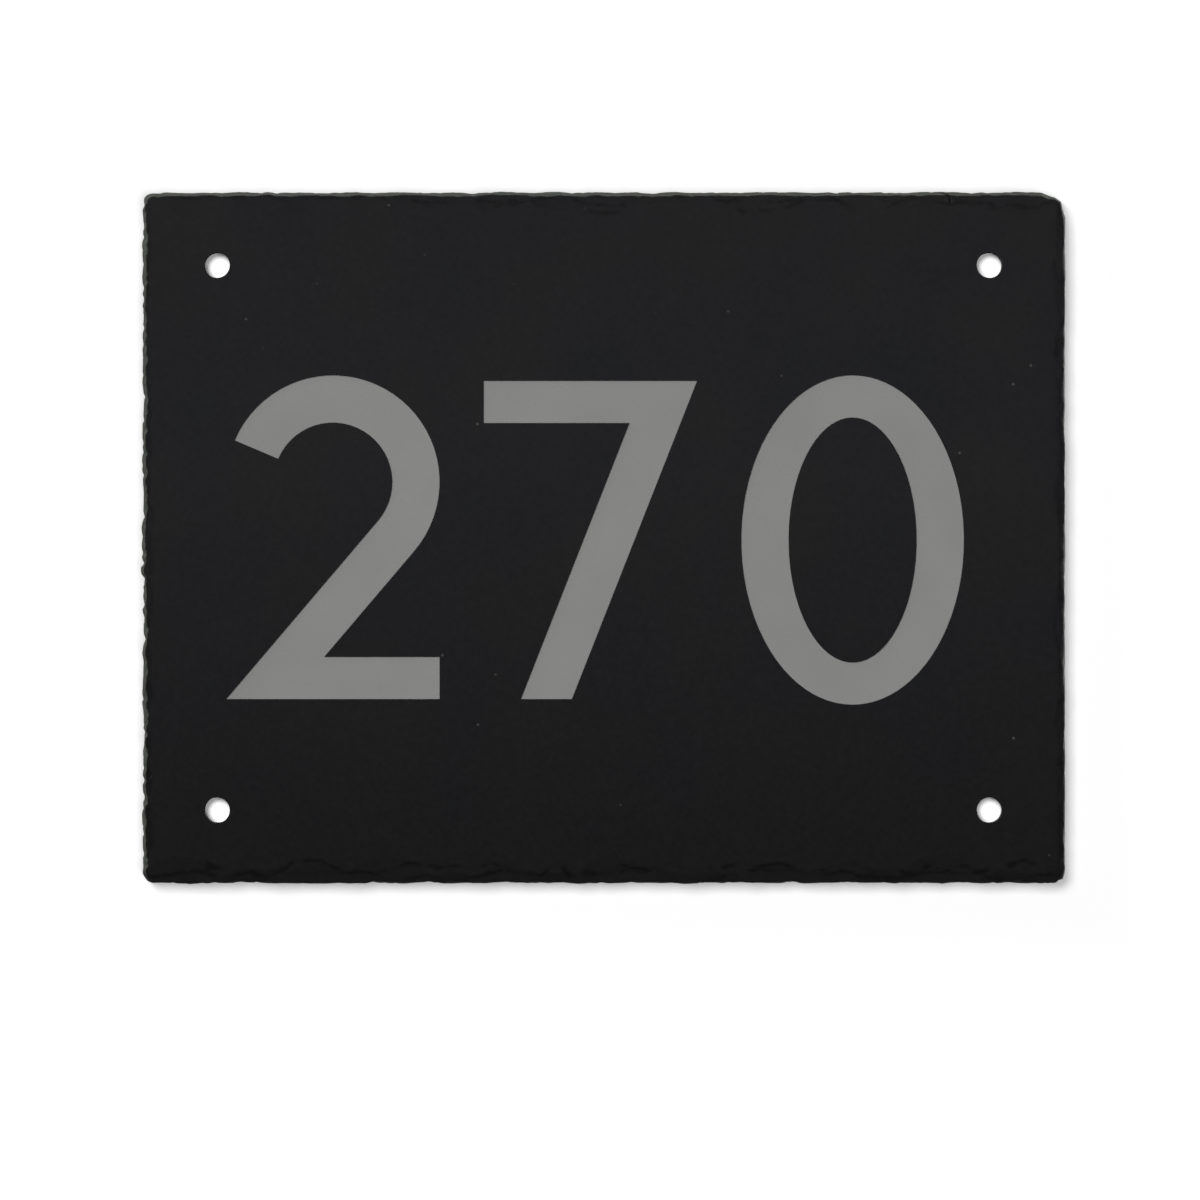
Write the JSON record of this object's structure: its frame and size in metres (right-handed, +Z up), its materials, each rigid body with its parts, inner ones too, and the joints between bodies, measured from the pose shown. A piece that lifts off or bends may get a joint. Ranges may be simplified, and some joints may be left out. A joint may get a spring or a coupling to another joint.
{
  "type": "house number plaque",
  "caption": "Rectangular slate house number plaque with hand-dressed flaked edges, an engraved number and a screw hole near each corner, made to be screwed flat to a wall.",
  "frame": {"origin": "middle of the flat back, which lies on the wall", "axes": "+X to the right as seen from the front, +Y out of the back into the wall, +Z up; the engraved face looks along -Y"},
  "size_m": [0.2, 0.006, 0.15],
  "materials": {
    "slate": "matt riven slate, near black, with pale grey engraved figures"
  },
  "bodies": {
    "root": {"slate_plaque": "slate"}
  },
  "joints": []
}
